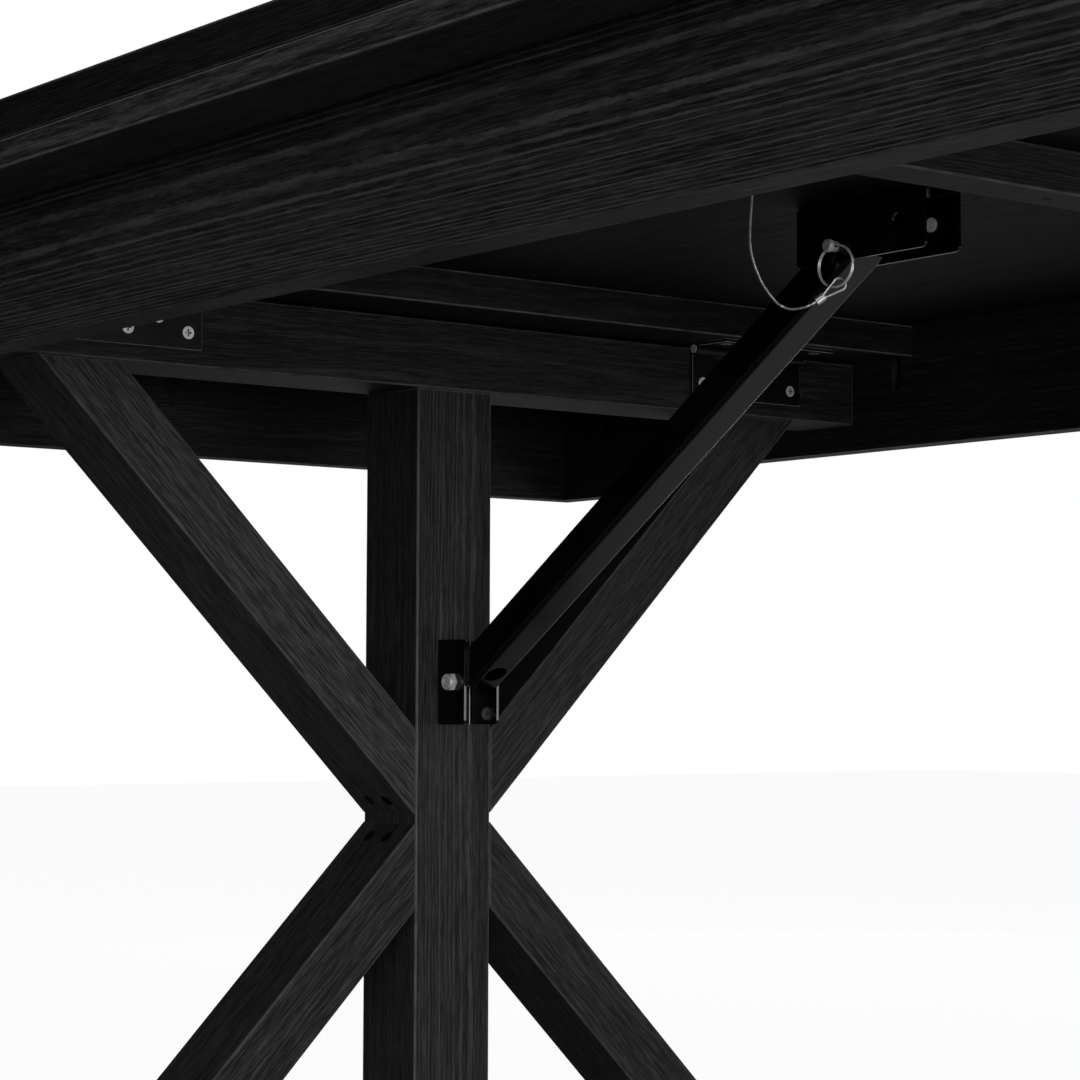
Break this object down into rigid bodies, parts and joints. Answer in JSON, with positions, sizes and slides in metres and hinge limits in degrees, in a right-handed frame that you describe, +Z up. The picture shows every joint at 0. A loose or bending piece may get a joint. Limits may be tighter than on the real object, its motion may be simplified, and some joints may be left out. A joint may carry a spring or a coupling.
{
  "type": "folding trestle table",
  "caption": "Long rectangular plank table on two hinged trestles that fold up flat under it, each held open by a steel channel brace and a quick-release pin.",
  "frame": {"origin": "on the floor under the middle of the top", "axes": "+X along the table, +Y across it to the back, +Z up"},
  "size_m": [2.438, 0.965, 0.762],
  "materials": {
    "black_wood": "black stain, wire-brushed open grain, low sheen",
    "black_steel": "gloss black paint",
    "zinc_steel": "bright zinc plate",
    "steel_cable": "thin stranded wire",
    "glide_plastic": "matt black"
  },
  "bodies": {
    "table_top": {"plank_1": "black_wood", "plank_2": "black_wood", "plank_3": "black_wood", "plank_4": "black_wood", "plank_5": "black_wood", "edge_strips_long": "black_wood", "edge_strips_end": "black_wood", "apron_front": "black_wood", "apron_back": "black_wood", "apron_left": "black_wood", "apron_right": "black_wood", "hinge_battens": "black_wood", "cross_battens": "black_wood", "frame_screws": "black_steel", "top_hinge_leaves": "black_steel", "underside_screws": "zinc_steel", "left_lock_bracket": "black_steel", "right_lock_bracket": "black_steel", "bracket_rivets": "zinc_steel", "lanyard_anchors": "black_steel", "left_lanyard": "steel_cable", "right_lanyard": "steel_cable"},
    "left_trestle": {"left_top_rail": "black_wood", "left_post": "black_wood", "left_foot_rail": "black_wood", "left_strut_upper_front": "black_wood", "left_strut_upper_back": "black_wood", "left_strut_lower_front": "black_wood", "left_strut_lower_back": "black_wood", "left_glides": "glide_plastic", "left_joint_screws": "black_steel", "left_rail_hinge_leaves": "black_steel", "left_hinge_pins": "zinc_steel", "left_hardware_screws": "zinc_steel", "left_post_bracket": "black_steel", "left_pivot_bolt": "zinc_steel", "left_pivot_nut": "zinc_steel"},
    "left_brace_bar": {"left_brace": "black_steel"},
    "left_pin": {"left_lock_pin": "zinc_steel", "left_lanyard_eye": "steel_cable"},
    "left_ring": {"left_pull_ring": "zinc_steel"},
    "right_trestle": {"right_top_rail": "black_wood", "right_post": "black_wood", "right_foot_rail": "black_wood", "right_strut_upper_front": "black_wood", "right_strut_upper_back": "black_wood", "right_strut_lower_front": "black_wood", "right_strut_lower_back": "black_wood", "right_glides": "glide_plastic", "right_joint_screws": "black_steel", "right_rail_hinge_leaves": "black_steel", "right_hinge_pins": "zinc_steel", "right_hardware_screws": "zinc_steel", "right_post_bracket": "black_steel", "right_pivot_bolt": "zinc_steel", "right_pivot_nut": "zinc_steel"},
    "right_brace_bar": {"right_brace": "black_steel"},
    "right_pin": {"right_lock_pin": "zinc_steel", "right_lanyard_eye": "steel_cable"},
    "right_ring": {"right_pull_ring": "zinc_steel"}
  },
  "joints": [
    {"name": "left_leg_fold", "type": "hinge", "parent": "table_top", "child": "left_trestle", "pos_m": [-0.7452, 0, 0.7107], "axis": [0, -1, 0], "range_deg": [0, 85]},
    {"name": "left_brace_swing", "type": "hinge", "parent": "left_trestle", "child": "left_brace_bar", "pos_m": [-0.731, 0, 0.4585], "axis": [0, -1, 0], "range_deg": [-123.5, 0]},
    {"name": "left_pin_pull", "type": "slide", "parent": "table_top", "child": "left_pin", "axis": [0, -1, 0], "range_m": [0, 0.036]},
    {"name": "left_ring_flap", "type": "hinge", "parent": "left_pin", "child": "left_ring", "pos_m": [-0.3465, -0.0182, 0.7125], "axis": [-0.9703, 0, -0.2419], "range_deg": [0, 100]},
    {"name": "right_leg_fold", "type": "hinge", "parent": "table_top", "child": "right_trestle", "pos_m": [0.7452, 0, 0.7107], "axis": [0, 1, 0], "range_deg": [0, 85]},
    {"name": "right_brace_swing", "type": "hinge", "parent": "right_trestle", "child": "right_brace_bar", "pos_m": [0.731, 0, 0.4585], "axis": [0, 1, 0], "range_deg": [-123.5, 0]},
    {"name": "right_pin_pull", "type": "slide", "parent": "table_top", "child": "right_pin", "axis": [0, 1, 0], "range_m": [0, 0.036]},
    {"name": "right_ring_flap", "type": "hinge", "parent": "right_pin", "child": "right_ring", "pos_m": [0.3465, 0.0182, 0.7125], "axis": [0.9703, 0, -0.2419], "range_deg": [0, 100]}
  ],
  "couplings": [
    {"joint": "left_brace_swing", "follows": "left_leg_fold", "ratio": -1.4523},
    {"joint": "right_brace_swing", "follows": "right_leg_fold", "ratio": -1.4523}
  ]
}
